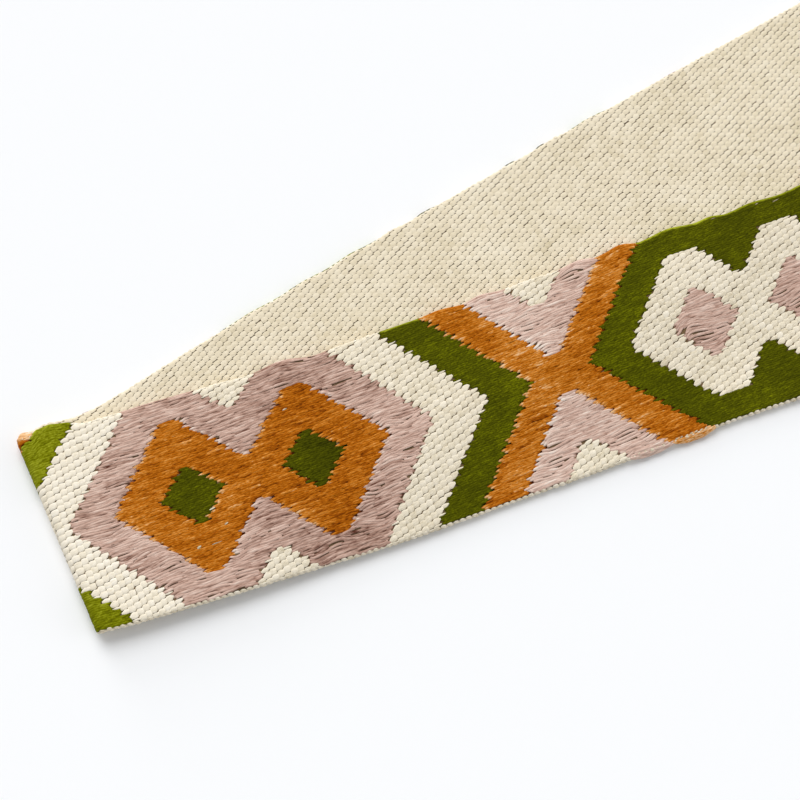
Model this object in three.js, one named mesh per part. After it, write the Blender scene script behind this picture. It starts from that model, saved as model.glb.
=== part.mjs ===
// A cut length of figured jacquard webbing, folded back on itself once and laid on a table.
// The lower layer lies face down, nearly straight along +X. The cloth turns over in one tight
// fold at the low-X end, and the upper layer lies face up on the lower one, running out at an
// angle over its near edge and down to the table. Millimetres, +Z up, origin under the middle
// of the box.
import * as THREE from "three";

// The webbing as woven.
const WIDTH = 50;
const THICKNESS = 2;
const SELVEDGE_ROUND = 1.2;
const SELVEDGE_THICKNESS = 0.9;

// Where it is cut, measured along the cloth from the crown of the fold.
const LOWER_LENGTH = 265;
const UPPER_LENGTH = 235;

// Headings of the two layers where they leave the fold, in degrees from +X, and how many
// degrees each turns in every 100 mm.
const LOWER_HEADING = 1;
const LOWER_TURN = -0.8;
const UPPER_HEADING = -13.8;
const UPPER_TURN = 1.6;

// The fold: radius at the middle of the cloth, the gap the layers close to, and how far from
// the fold they have closed to it.
const FOLD_RADIUS = 1.4;
const LAYER_GAP = 0.4;
const CLOSING_RUN = 22;

// The upper layer droops over the near edge of the lower one. It starts to fall just short of
// that edge and lies on the table once it is well past it.
const DROOP_FROM = -4;
const DROOP_TO = 26;
const DROOP_STARTS_ALONG = 10;
const DROOP_FULL_ALONG = 60;

// Sideways wander of the cloth, towards +Y, at places along it. Negative places are on the
// lower layer.
const WANDER = [
  { along: -265, sideways: 0 },
  { along: -120, sideways: 0.3 },
  { along: -60, sideways: 0 },
  { along: -26, sideways: -0.7 },
  { along: -10, sideways: 0.5 },
  { along: 0, sideways: 1.4 },
  { along: 14, sideways: 0.6 },
  { along: 40, sideways: 0.1 },
  { along: 75, sideways: -0.4 },
  { along: 115, sideways: 0 },
  { along: 155, sideways: 0.4 },
  { along: 190, sideways: -0.4 },
  { along: 235, sideways: 0 },
];

// Steps of the mesh.
const LOWER_STEPS = 30;
const FOLD_STEPS = 24;
const UPPER_STEPS = 28;
const FOLD_ZONE = 7;
const FACE_STEPS = 12;
const ROUND_STEPS = 3;

const RAD = Math.PI / 180;
const HALF_TURN_RUN = (Math.PI * FOLD_RADIUS) / 2;
const FOLD_NORMAL = ((UPPER_HEADING + LOWER_HEADING) / 2) * RAD;
const FLAT_HEADING = ((UPPER_HEADING - LOWER_HEADING) / 2) * RAD;

// A smooth step from 0 at low to 1 at high.
function ease(low, high, value) {
  return THREE.MathUtils.smoothstep(value, low, high);
}

// The sideways wander at a place along the cloth.
function wanderAt(along) {
  const last = WANDER.length - 1;
  let row = 0;
  while (row < last - 1 && along > WANDER[row + 1].along) {
    row += 1;
  }
  const from = WANDER[row];
  const to = WANDER[row + 1];
  const share = ease(from.along, to.along, along);
  return THREE.MathUtils.lerp(from.sideways, to.sideways, share);
}

// The cloth rolled out flat: each layer is a gentle arc. The first coordinate is the distance
// past the fold line, negative on the lower layer, and the second runs along the fold line.
function flatPlace(along, across) {
  const turn = ((along < 0 ? LOWER_TURN : UPPER_TURN) * RAD) / 100;
  const heading = FLAT_HEADING + turn * along;
  const past = (Math.sin(heading) - Math.sin(FLAT_HEADING)) / turn;
  const beside = (Math.cos(FLAT_HEADING) - Math.cos(heading)) / turn;
  const offset = across + wanderAt(along);
  return {
    past: past - offset * Math.sin(heading),
    beside: beside + offset * Math.cos(heading),
  };
}

// A flat place carried round the fold, in plan: the fold line runs through the origin.
function inPlan(run, beside) {
  return {
    x: run * Math.cos(FOLD_NORMAL) - beside * Math.sin(FOLD_NORMAL),
    y: run * Math.sin(FOLD_NORMAL) + beside * Math.cos(FOLD_NORMAL),
  };
}

// The near edge of the lower layer, halfway along it.
const lowerEdge = flatPlace(-LOWER_LENGTH / 2, -WIDTH / 2);
const LOWER_EDGE_Y = inPlan(-lowerEdge.past - HALF_TURN_RUN, lowerEdge.beside).y;

// How far the upper layer is below its height in the fold.
function fallAt(past, y) {
  if (past <= 0) {
    return 0;
  }
  const closing = 2 * FOLD_RADIUS - THICKNESS - LAYER_GAP;
  const drooping = THICKNESS + LAYER_GAP;
  const clear = LOWER_EDGE_Y - y;
  const closed = ease(HALF_TURN_RUN, CLOSING_RUN, past);
  const drooped = ease(DROOP_FROM, DROOP_TO, clear) * ease(DROOP_STARTS_ALONG, DROOP_FULL_ALONG, past);
  return closing * closed + drooping * drooped;
}

// A point of the cloth: along it, across it, and out from its middle towards its face.
function placed(along, across, out) {
  const { past, beside } = flatPlace(along, across);
  const angle = THREE.MathUtils.clamp(past / FOLD_RADIUS, -Math.PI / 2, Math.PI / 2);
  const radius = FOLD_RADIUS + out;
  const straight = Math.max(Math.abs(past) - HALF_TURN_RUN, 0);
  const { x, y } = inPlan(straight - radius * Math.cos(angle), beside);
  const crown = THICKNESS / 2 + FOLD_RADIUS;
  return new THREE.Vector3(x, y, crown + radius * Math.sin(angle) - fallAt(past, y));
}

// The place along the cloth of each step, close together round the fold.
function alongAt(step) {
  const afterFold = step - LOWER_STEPS - FOLD_STEPS;
  if (step <= LOWER_STEPS) {
    return THREE.MathUtils.lerp(-LOWER_LENGTH, -FOLD_ZONE, step / LOWER_STEPS);
  }
  if (afterFold <= 0) {
    return THREE.MathUtils.lerp(FOLD_ZONE, -FOLD_ZONE, -afterFold / FOLD_STEPS);
  }
  return THREE.MathUtils.lerp(FOLD_ZONE, UPPER_LENGTH, afterFold / UPPER_STEPS);
}

// The place across the cloth of each column, and half the thickness there: even over the face,
// rounded off at both selvedges.
function columnAt(column) {
  const columns = FACE_STEPS + 2 * ROUND_STEPS;
  const fromMiddle = column - columns / 2;
  const side = Math.sign(fromMiddle);
  const faceHalf = WIDTH / 2 - SELVEDGE_ROUND;
  const beyond = Math.max(Math.abs(fromMiddle) - FACE_STEPS / 2, 0);
  const angle = ((beyond / ROUND_STEPS) * Math.PI) / 2;
  const onFace = Math.min(Math.abs(fromMiddle) / (FACE_STEPS / 2), 1) * faceHalf;
  const thinned = (THICKNESS - SELVEDGE_THICKNESS) / 2;
  return {
    across: side * (onFace + SELVEDGE_ROUND * Math.sin(angle)),
    half: SELVEDGE_THICKNESS / 2 + thinned * Math.cos(angle),
  };
}

// The webbing: a straight slab of even steps, each point then moved to its place in the fold.
function foldedWebbing() {
  const lengthSteps = LOWER_STEPS + FOLD_STEPS + UPPER_STEPS;
  const widthSteps = FACE_STEPS + 2 * ROUND_STEPS;
  const slab = new THREE.BoxGeometry(lengthSteps, widthSteps, 2, lengthSteps, widthSteps, 1);
  const points = slab.getAttribute("position");
  const point = new THREE.Vector3();
  for (let index = 0; index < points.count; index += 1) {
    point.fromBufferAttribute(points, index);
    const { across, half } = columnAt(Math.round(point.y + widthSteps / 2));
    const along = alongAt(Math.round(point.x + lengthSteps / 2));
    const moved = placed(along, across, point.z * half);
    points.setXYZ(index, moved.x, moved.y, moved.z);
  }
  slab.computeBoundingBox();
  const middle = slab.boundingBox.getCenter(new THREE.Vector3());
  slab.translate(-middle.x, -middle.y, -slab.boundingBox.min.z);
  slab.computeVertexNormals();
  return slab;
}

// Undyed cotton ground with coloured yarns: the mean colour of its plain back.
const webbingYarn = new THREE.MeshStandardMaterial({ color: "#ddd0b6", roughness: 0.9, metalness: 0 });

const webbing = new THREE.Mesh(foldedWebbing(), webbingYarn);
webbing.name = "webbing";

const part = new THREE.Group();
part.add(webbing);

export default part;
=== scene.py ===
import math

import bpy
import numpy as np
from mathutils import Matrix
from mathutils import Vector


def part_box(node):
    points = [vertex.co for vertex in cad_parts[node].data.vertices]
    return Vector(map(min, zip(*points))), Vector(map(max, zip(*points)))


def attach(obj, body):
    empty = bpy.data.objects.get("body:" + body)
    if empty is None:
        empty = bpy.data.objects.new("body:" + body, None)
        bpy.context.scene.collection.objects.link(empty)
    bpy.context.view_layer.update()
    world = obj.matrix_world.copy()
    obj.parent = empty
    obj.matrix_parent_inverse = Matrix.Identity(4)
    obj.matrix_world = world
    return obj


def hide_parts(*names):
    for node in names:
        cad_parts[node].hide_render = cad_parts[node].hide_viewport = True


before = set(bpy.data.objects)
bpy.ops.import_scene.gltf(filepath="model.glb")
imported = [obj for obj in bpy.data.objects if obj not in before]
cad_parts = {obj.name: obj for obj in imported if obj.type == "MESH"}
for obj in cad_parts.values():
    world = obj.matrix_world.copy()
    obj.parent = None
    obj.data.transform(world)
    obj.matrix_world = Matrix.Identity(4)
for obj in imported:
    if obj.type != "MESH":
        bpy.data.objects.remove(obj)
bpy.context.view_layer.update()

MM = 0.001

# THE VIEW
# A look down at the cloth from the side of its near edge, with the fold at the left of the picture.
# The two cut ends lie outside the picture at the right.
LENS_MM = 72
SENSOR_MM = 36
VIEW_TARGET = Vector((-45.8, 11.7, 0)) * MM
VIEW_DISTANCE = 383.3 * MM
VIEW_ELEVATION = math.radians(71.66)
VIEW_HEADING = math.radians(31.93)


def add_object(name, data):
    """An object of a camera, a mesh or a light, put in the scene."""
    added = bpy.data.objects.new(name, data)
    bpy.context.scene.collection.objects.link(added)
    return added


def add_camera():
    """The camera, looking along its heading and down by its elevation."""
    level = Vector((math.sin(VIEW_HEADING), math.cos(VIEW_HEADING), 0))
    look = level * math.cos(VIEW_ELEVATION) - Vector((0, 0, math.sin(VIEW_ELEVATION)))
    right = Vector((level.y, -level.x, 0))
    upward = right.cross(look)
    camera = add_object("camera", bpy.data.cameras.new("camera"))
    camera.data.lens = LENS_MM
    camera.data.sensor_width = SENSOR_MM
    camera.matrix_world = Matrix.Translation(VIEW_TARGET - look * VIEW_DISTANCE) @ Matrix(
        (right, upward, -look)
    ).transposed().to_4x4()
    bpy.context.scene.camera = camera


add_camera()

# THE GROUND CLOTH
# One woven length of undyed cotton, cut square at both ends and folded once. This sheet is the body of
# the weave between its two faces. What shows of it is the bottom of each gap, painted dark as painted
# shade.
WIDTH = 50 * MM
THICKNESS = 2 * MM
SELVEDGE_ROUND = 1.2 * MM
SELVEDGE_THICKNESS = 0.9 * MM
LOWER_LENGTH = 265 * MM
UPPER_LENGTH = 235 * MM
# Where each layer heads as it leaves the fold, and how far it turns along its length.
LOWER_HEADING = math.radians(1)
LOWER_TURN = math.radians(-0.8) / (100 * MM)
UPPER_HEADING = math.radians(-13.8)
UPPER_TURN = math.radians(1.6) / (100 * MM)
FOLD_RADIUS = 1.4 * MM
LAYER_GAP = 0.4 * MM
CLOSING_RUN = 22 * MM
# The upper layer droops over the near edge of the lower one and down to the table.
DROOP_FROM = -4 * MM
DROOP_TO = 26 * MM
DROOP_STARTS_ALONG = 10 * MM
DROOP_FULL_ALONG = 60 * MM
# Sideways wander of the cloth towards +Y, at places along it from the crown of the fold, in mm.
WANDER_MM = {
    -265: 0, -120: 0.3, -60: 0, -26: -0.7, -10: 0.5, 0: 1.4, 14: 0.6,
    40: 0.1, 75: -0.4, 115: 0, 155: 0.4, 190: -0.4, 235: 0,
}
# The far corner of the fold bulges, and the far edge is scalloped where long floats pull at it. Both
# grow from a place across the cloth to these numbers at its far edge, in mm.
CORNER_MM = {-18: 0, -15: 0.7, -10: 1.9, -6: 1.9, -3: 0.2, 0: 0, 2: 1, 5: 1.5, 8: 1.2, 14: 0, 20: 0}
CORNER_FROM = 13 * MM
SCALLOP_MM = {
    -171: 0, -165: 0.3, -160: 0, -154: 0.3, -149: 0, -112: 0, -107: 0.4, -101: 0, -95: 0.35,
    -88: 0, -81: 0.35, -74: 0, -66: 0.3, -58: 0, 20: 0, 30: 0.2, 45: 0, 53: -0.3, 62: 0.8,
    70: -0.4, 78: 0.1, 97: 0, 102: 0.3, 108: -0.3, 113: 0.5, 119: -0.1, 124: 0.2, 133: -0.1,
    139: 0.5, 144: -0.3, 150: 0.6, 155: -0.4, 163: 0.5, 170: -0.2, 174: 0.2, 178: -0.4,
    185: 0.3, 193: -0.2, 201: 0.4, 209: 0, 235: 0,
}
SCALLOP_FROM = 21 * MM
# The sheet is thinner than the cloth, and crowds its columns towards the selvedges.
GROUND_SHARE = 0.66
GROUND_INSET = 0.6 * MM
GROUND_STEP = 1.5 * MM
GROUND_COLUMNS = 24
GROUND_CROWDING = math.radians(81)
GROUND_SPOT_MM = 0.5
# How finely the cloth is measured for its place in the frame, along and across.
MEASURED_STEPS = (2001, 41)

HALF_TURN_RUN = math.pi * FOLD_RADIUS / 2
FOLD_NORMAL = (UPPER_HEADING + LOWER_HEADING) / 2
FLAT_HEADING = (UPPER_HEADING - LOWER_HEADING) / 2


def ease(low, high, value):
    """A smooth step from 0 at low to 1 at high."""
    share = np.clip((value - low) / (high - low), 0, 1)
    return share * share * (3 - 2 * share)


def between(table, place):
    """The value that a table gives for a place, going smoothly from row to row."""
    places = np.array(list(table), float) * MM
    values = np.array(list(table.values()), float)
    row = np.clip(np.searchsorted(places, place, side="right") - 1, 0, len(places) - 2)
    share = ease(places[row], places[row + 1], place)
    return values[row] + (values[row + 1] - values[row]) * share


def flat_place(along, across):
    """The cloth rolled out flat: how far past the fold line, and how far along that line."""
    turn = np.where(along < 0, LOWER_TURN, UPPER_TURN)
    heading = FLAT_HEADING + turn * along
    past = (np.sin(heading) - math.sin(FLAT_HEADING)) / turn
    beside = (math.cos(FLAT_HEADING) - np.cos(heading)) / turn
    corner = between(CORNER_MM, along) * ease(CORNER_FROM, WIDTH / 2, across)
    scallop = between(SCALLOP_MM, along) * ease(SCALLOP_FROM, WIDTH / 2, across)
    offset = across + (between(WANDER_MM, along) + corner + scallop) * MM
    return past - offset * np.sin(heading), beside + offset * np.cos(heading)


def in_plan(run, beside):
    """A flat place carried round the fold, in plan, with the fold line through the origin."""
    x = run * math.cos(FOLD_NORMAL) - beside * math.sin(FOLD_NORMAL)
    y = run * math.sin(FOLD_NORMAL) + beside * math.cos(FOLD_NORMAL)
    return x, y


def lower_edge_y():
    """Where the near edge of the lower layer lies, halfway along it."""
    past, beside = flat_place(np.array(-LOWER_LENGTH / 2), np.array(-WIDTH / 2))
    return in_plan(-past - HALF_TURN_RUN, beside)[1]


def fall(past, y):
    """How far the upper layer is below its height in the fold."""
    closing = (2 * FOLD_RADIUS - THICKNESS - LAYER_GAP) * ease(HALF_TURN_RUN, CLOSING_RUN, past)
    clear = lower_edge_y() - y
    drooped = ease(DROOP_FROM, DROOP_TO, clear) * ease(DROOP_STARTS_ALONG, DROOP_FULL_ALONG, past)
    return np.where(past > 0, closing + (THICKNESS + LAYER_GAP) * drooped, 0)


def folded(along, across, out):
    """Points of the folded cloth: along it, across it, and out from its middle towards its face."""
    past, beside = flat_place(along, across)
    angle = np.clip(past / FOLD_RADIUS, -math.pi / 2, math.pi / 2)
    radius = FOLD_RADIUS + out
    straight = np.maximum(np.abs(past) - HALF_TURN_RUN, 0)
    x, y = in_plan(straight - radius * np.cos(angle), beside)
    z = THICKNESS / 2 + FOLD_RADIUS + radius * np.sin(angle) - fall(past, y)
    return np.stack([x, y, z], axis=-1)


def half_thickness(across):
    """Half the thickness of the cloth: even, and rounded off at both selvedges."""
    beyond = np.clip((np.abs(across) - WIDTH / 2 + SELVEDGE_ROUND) / SELVEDGE_ROUND, 0, 1)
    return (SELVEDGE_THICKNESS + (THICKNESS - SELVEDGE_THICKNESS) * np.sqrt(1 - beyond**2)) / 2


def fold_to_cad():
    """What moves the folded cloth to its place in the frame: its low corner goes to the box's."""
    along = np.linspace(-LOWER_LENGTH, UPPER_LENGTH, MEASURED_STEPS[0])[:, None]
    across = np.linspace(-WIDTH / 2, WIDTH / 2, MEASURED_STEPS[1])[None, :]
    half = half_thickness(across) * np.ones_like(along)
    sides = [folded(*np.broadcast_arrays(along, across, half * side)) for side in (-1, 1)]
    low = np.concatenate(sides).reshape(-1, 3).min(axis=0)
    return np.array(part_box("webbing")[0]) - low


TO_FRAME = fold_to_cad()


def linear(hex_colour):
    """An sRGB colour written as hex, as the linear colour that a shader takes."""
    values = [int(hex_colour[at:at + 2], 16) / 255 for at in (1, 3, 5)]
    return [v / 12.92 if v <= 0.04045 else ((v + 0.055) / 1.055) ** 2.4 for v in values] + [1]


def add_node(material, kind, settings=None, links=None):
    """A node of a material, with its settings, and with its inputs' values or links."""
    node = material.node_tree.nodes.new("ShaderNode" + kind)
    for name, value in (settings or {}).items():
        setattr(node, name, value)
    for name, value in (links or {}).items():
        if isinstance(value, bpy.types.NodeSocket):
            material.node_tree.links.new(value, node.inputs[name])
        else:
            node.inputs[name].default_value = value
    return node


def new_material(name, **settings):
    """A node material of one surface, and that surface."""
    material = bpy.data.materials.new(name)
    material.use_nodes = True
    material.node_tree.nodes.clear()
    output = add_node(material, "OutputMaterial")
    surface = add_node(material, "BsdfPrincipled", {}, settings)
    material.node_tree.links.new(surface.outputs["BSDF"], output.inputs["Surface"])
    return material, surface


def mesh_piece(name, points, faces, material, tone=0):
    """A smooth mesh of points along, across and out of the cloth, carried to its place in the fold.
    Its yarn attribute keeps the places along and across in mm and a tone, for the material."""
    places = folded(points[:, 0], points[:, 1], points[:, 2]) + TO_FRAME
    mesh = bpy.data.meshes.new(name)
    mesh.vertices.add(len(places))
    mesh.vertices.foreach_set("co", places.astype(np.float32).ravel())
    mesh.loops.add(faces.size)
    mesh.loops.foreach_set("vertex_index", faces.astype(np.int32).ravel())
    mesh.polygons.add(len(faces))
    mesh.polygons.foreach_set("loop_start", np.arange(0, faces.size, faces.shape[1], dtype=np.int32))
    mesh.polygons.foreach_set("use_smooth", np.ones(len(faces), bool))
    mesh.update(calc_edges=True)
    yarn = np.column_stack([points[:, :2] / MM, tone * np.ones(len(points))])
    attribute = mesh.attributes.new("yarn", "FLOAT_VECTOR", "POINT")
    attribute.data.foreach_set("vector", yarn.astype(np.float32).ravel())
    mesh.materials.append(material)
    return add_object(name, mesh)


def ground_sheet(material):
    """The sheet: one closed slab of the woven ground, its points moved into the fold."""
    steps = round((LOWER_LENGTH + UPPER_LENGTH) / GROUND_STEP)
    along = np.linspace(-LOWER_LENGTH, UPPER_LENGTH, steps + 1)
    crowded = np.sin(np.linspace(-1, 1, GROUND_COLUMNS + 1) * GROUND_CROWDING)
    across = crowded / math.sin(GROUND_CROWDING) * (WIDTH / 2 - GROUND_INSET)
    ring_across = np.concatenate([across, across[::-1]])
    side = np.concatenate([np.ones(len(across)), -np.ones(len(across))])
    ring_out = half_thickness(ring_across) * side * GROUND_SHARE
    count = len(ring_across)
    points = np.column_stack(
        [np.repeat(along, count), np.tile(ring_across, len(along)), np.tile(ring_out, len(along))]
    )
    step, corner = np.meshgrid(np.arange(steps), np.arange(count), indexing="ij")
    first = (step * count + corner).ravel()
    after = (step * count + (corner + 1) % count).ravel()
    faces = np.column_stack([first, first + count, after + count, after])
    end = np.arange(len(across) - 1)
    caps = np.column_stack([end, end + 1, count - 2 - end, count - 1 - end])
    faces = np.concatenate([faces, caps, caps[:, ::-1] + steps * count])
    return mesh_piece("ground_cloth", points, faces, material)


def ground_material():
    """Undyed cotton seen down in the gaps: matt, and painted dark brown, both browned by the coloured
    ends that lie under it and as painted shade in the gaps.
    """
    material, surface = new_material(
        "undyed cotton ground, woven", **{"Roughness": 0.95, "IOR": 1.53, "Specular IOR Level": 0.1}
    )
    place = add_node(material, "Attribute", {"attribute_name": "yarn"})
    spots = add_node(material, "TexNoise", {}, {
        "Vector": place.outputs["Vector"], "Scale": 1 / GROUND_SPOT_MM, "Detail": 2.0
    })
    shades = add_node(material, "ValToRGB", {}, {"Fac": spots.outputs["Fac"]})
    # The dark brown is painted shade down in the gaps, with the browning of the coloured ends beneath.
    shades.color_ramp.elements[0].color = linear("#54381f")
    shades.color_ramp.elements[1].color = linear("#988160")
    material.node_tree.links.new(shades.outputs["Color"], surface.inputs["Base Color"])
    return material


ground = ground_sheet(ground_material())
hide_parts("webbing")
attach(ground, "root")

# THE PLAIN BACK
# The undyed cotton weft as it lies on the back: short plump picks in columns across the webbing, woven
# in with the rest. Each column is set a third of a pick nearer than the one before: that is the twill.
COLUMN = 1.536 * MM
BACK_PICK = 1.458 * MM
BACK_HALF_LONG = 0.52 * COLUMN
BACK_SLOPE = 0.06
BACK_INSET = 0.3 * MM
BACK_TWILL = 3
# The height of a pick across it, from its near side to its far one, as a share of the whole height.
BACK_SECTION = {-1: 0, -0.8: 0.84, -0.45: 1, 0.45: 1, 1: 0.84}
# How much a pick narrows on its far side towards its right end, and on its near side towards its left.
BACK_FAR_CUT = 0.31
BACK_NEAR_CUT = 0.4
# How far its crown falls at both ends and by what power. Then the least height that it has: in its
# middle, and how far that falls at its left end and at its right.
BACK_END_FALL = (0.14, 3)
BACK_FOOT = (0.84, 0.36, 0.2)
# How far out from the middle of the cloth the picks start, and the most height that one has.
BACK_LOW = 0.62
BACK_HIGH = 1.02
BACK_UNEVEN = {"along": 0.03 * MM, "across": 0.035 * MM, "width": 0.035, "height": 0.04, "tone": 0.35}
# Painted shade: below what height a pick is painted darker, as shade in the gaps, and how fast.
BACK_GAP_SHADE = (0.75, 2)
# The inside of the fold's turn is hidden, and too tight for the picks, so they stop short of it.
BACK_FOLD_CLEAR = 2.2 * MM
rng = np.random.default_rng(50)


def profile_at(table, place):
    """The value that a table of shares gives for a place, going straight from row to row."""
    return np.interp(place, list(table), list(table.values()))


def grid_faces(rows, columns):
    """The quads of one grid of points, rows by columns."""
    row, column = np.meshgrid(np.arange(rows - 1), np.arange(columns - 1), indexing="ij")
    first = (row * columns + column).ravel()
    return np.column_stack([first, first + columns, first + columns + 1, first + 1])


def stacked(along, across, out):
    """Points from their places along, across and out, each an array or one number."""
    return np.stack(np.broadcast_arrays(along, across, out), axis=-1)


def repeated(faces, count, each):
    """The faces of one small shape, for as many copies of its points as there are."""
    return (faces[None] + (np.arange(count) * each)[:, None, None]).reshape(-1, 4)


def many(places, shape, rise):
    """Grids of points for many small yarn bulges of one shape, and their quads. A place is a row of
    the middle along and across, and of the half length and half width."""
    at, beside = (part.ravel()[None, :] for part in shape)
    along, across, half_long, half_wide = places.T[:, :, None]
    along, across = along + at * half_long, across + beside * half_wide + at * rise * half_long
    points = stacked(along, across, 0.0).reshape(-1, 3)
    each = at.shape[1]
    return points, repeated(grid_faces(*shape[0].shape), len(places), each), each


def painted_gap_shade(height, below, strength):
    """Painted shade: how much darker a yarn is painted deep down in the gaps beside it, where shade
    falls.
    """
    return strength * np.maximum(below - height, 0)


def yarn_piece(name, points, faces, material, tone):
    """Yarn as one mesh, and part of the cloth that it is woven into."""
    piece = mesh_piece(name, points.reshape(-1, 3), faces, material, tone)
    piece.parent = ground


def back_shape(at, beside):
    """How wide a pick of the back is at a place on it, and how high: a steep near side, a flat top,
    and a far side that the next pick lies on. It narrows towards two opposite corners."""
    ahead, behind = np.maximum(at, 0), np.maximum(-at, 0)
    wide = 1 - np.where(beside > 0, BACK_FAR_CUT * ahead, BACK_NEAR_CUT * behind)
    foot = BACK_FOOT[0] - BACK_FOOT[1] * behind**2 - BACK_FOOT[2] * ahead**2
    crown = profile_at(BACK_SECTION, beside) * (1 - BACK_END_FALL[0] * np.abs(at) ** BACK_END_FALL[1])
    return wide, np.maximum(crown, foot)


def back_places(start, stop):
    """Where the picks of the back lie, between two places along the webbing."""
    rows = []
    for column in range(math.ceil(start / COLUMN), math.floor(stop / COLUMN)):
        shift = (-column % BACK_TWILL) / BACK_TWILL * BACK_PICK
        for pick in np.arange(-WIDTH / 2 + shift, WIDTH / 2 + BACK_INSET, BACK_PICK):
            rows.append(((column + 0.5) * COLUMN, pick, BACK_HALF_LONG, BACK_PICK / 2))
    return np.array(rows)


def back_piece(name, start, stop, grid, material):
    """The picks of the back over one stretch of the webbing, as one mesh."""
    places = back_places(start, stop)
    count = len(places)
    places[:, 0] += rng.normal(0, BACK_UNEVEN["along"], count)
    places[:, 1] += rng.normal(0, BACK_UNEVEN["across"], count)
    places[:, 3] *= 1 + rng.normal(0, BACK_UNEVEN["width"], count)
    at, beside = np.meshgrid(*grid, indexing="ij")
    wide, height = back_shape(at, beside)
    points, faces, each = many(places, (at, beside * wide), BACK_SLOPE)
    points[:, 0] = np.clip(points[:, 0], -LOWER_LENGTH, UPPER_LENGTH)
    points[:, 1] = np.clip(points[:, 1], -WIDTH / 2 + BACK_INSET, WIDTH / 2 - BACK_INSET)
    plump = 1 + rng.normal(0, BACK_UNEVEN["height"], count)
    height = np.minimum(np.tile(height.ravel(), count) * np.repeat(plump, each), BACK_HIGH)
    points[:, 2] = -half_thickness(points[:, 1]) * (BACK_LOW + (1 - BACK_LOW) * height)
    tone = np.repeat(rng.normal(0, BACK_UNEVEN["tone"], count), each)
    # Painted shade low down in the gaps between the picks.
    tone -= painted_gap_shade(height, *BACK_GAP_SHADE)
    yarn_piece(name, points, faces[:, ::-1], material, tone)


# How far one step of tone moves a yarn along its shades, and how large the clouds and the mottling are,
# in mm along and across. The third numbers are steps of tone, so that unlike yarns aren't spotted alike.
TONE_STEP = 0.09
CLOUDS_MM = (14, 9, 60)
MOTTLES_MM = (3, 0.7, 20)
FIBRE_TONES = 6
FIBRE_BUMP = 0.5


def yarn_material(name, shades, slant_deg, fibre_mm, strengths, bump_mm):
    """Spun yarn: matt and felted, almost without gloss. Its fibres are far too fine to show, so they
    are drawn as bundles of the size given, at a slant to the webbing. strengths is how much the
    fibres, the mottling and the clouds each move the shade, from the darkest shade to the palest."""
    material, surface = new_material(
        name, **{"Roughness": 0.85, "IOR": 1.53, "Specular IOR Level": 0.04}
    )
    yarn = add_node(material, "Attribute", {"attribute_name": "yarn"})
    parts = add_node(material, "SeparateXYZ", {}, {"Vector": yarn.outputs["Vector"]})
    fine, mottled, cloudy = strengths
    middle = 0.5 - (fine + mottled + cloudy) / 2
    shade = add_node(material, "Math", {"operation": "MULTIPLY_ADD"}, {
        0: parts.outputs["Z"], 1: TONE_STEP, 2: middle
    })
    for strength, size in ((cloudy, CLOUDS_MM), (mottled, MOTTLES_MM), (fine, (*fibre_mm, FIBRE_TONES))):
        turned = add_node(material, "Mapping", {"vector_type": "TEXTURE"}, {
            "Vector": yarn.outputs["Vector"], "Rotation": (0, 0, math.radians(slant_deg)), "Scale": size
        })
        noise = add_node(material, "TexNoise", {}, {
            "Vector": turned.outputs["Vector"], "Scale": 1.0, "Detail": 2.0
        })
        shade = add_node(material, "Math", {"operation": "MULTIPLY_ADD", "use_clamp": strength == fine}, {
            0: noise.outputs["Fac"], 1: strength, 2: shade.outputs["Value"]
        })
    # The darkest shades are reached where painted shade pushes the tone down, in gaps, dives and ties,
    # and the palest partly where painted highlights and sheen push it up.
    colours = add_node(material, "ValToRGB", {}, {"Fac": shade.outputs["Value"]})
    ramp = colours.color_ramp
    ramp.elements[0].color = linear(shades[0])
    ramp.elements[1].color = linear(shades[-1])
    for number, colour in enumerate(shades[1:-1], start=1):
        ramp.elements.new(number / (len(shades) - 1)).color = linear(colour)
    bump = add_node(material, "Bump", {}, {
        "Height": noise.outputs["Fac"], "Strength": FIBRE_BUMP, "Distance": bump_mm * MM
    })
    material.node_tree.links.new(colours.outputs["Color"], surface.inputs["Base Color"])
    material.node_tree.links.new(bump.outputs["Normal"], surface.inputs["Normal"])
    return material


# Undyed spun cotton: dull and cream, with painted shade making it browner where it dips, and almost white
# where it stands proud.
back_cotton = yarn_material(
    "undyed cotton, picks of the back",
    ("#857453", "#d2c3a1", "#ecdfc4", "#f6ecd6", "#fbf4e4"), 15, (0.9, 0.12), (0.45, 0.25, 0.3), 0.06,
)
LOWER_GRID = (np.array([-1, -0.55, 0, 0.55, 1]), np.array([-1, -0.8, -0.45, 0.45, 1]))
UPPER_GRID = (np.array([-1, 0, 1]), np.array([-1, -0.7, 1]))
back_piece("back_picks_lower", -LOWER_LENGTH - COLUMN, -BACK_FOLD_CLEAR, LOWER_GRID, back_cotton)
back_piece("back_picks_upper", BACK_FOLD_CLEAR, UPPER_LENGTH + COLUMN, UPPER_GRID, back_cotton)

# THE FIGURE
# The colours of the face, as the loom lifts them. The figure is mirrored at both ends of its half
# repeat, which runs from the middle of a pair of diamonds, over a crossing of two bands, to the middle
# of a pair of white diamonds. It is also mirrored across a line just beyond the middle of the width.
ENDS = 96
END = WIDTH / ENDS
# Where one pair of diamonds has its middle along the webbing, the columns in half a repeat, and where
# the mirror line lies across the webbing.
PAIR_PLACE = 47.3 * MM
HALF_REPEAT = 83
FIGURE_MIDDLE = 0.35 * MM
WHITE, OLIVE, ORANGE, PINK = range(4)
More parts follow.
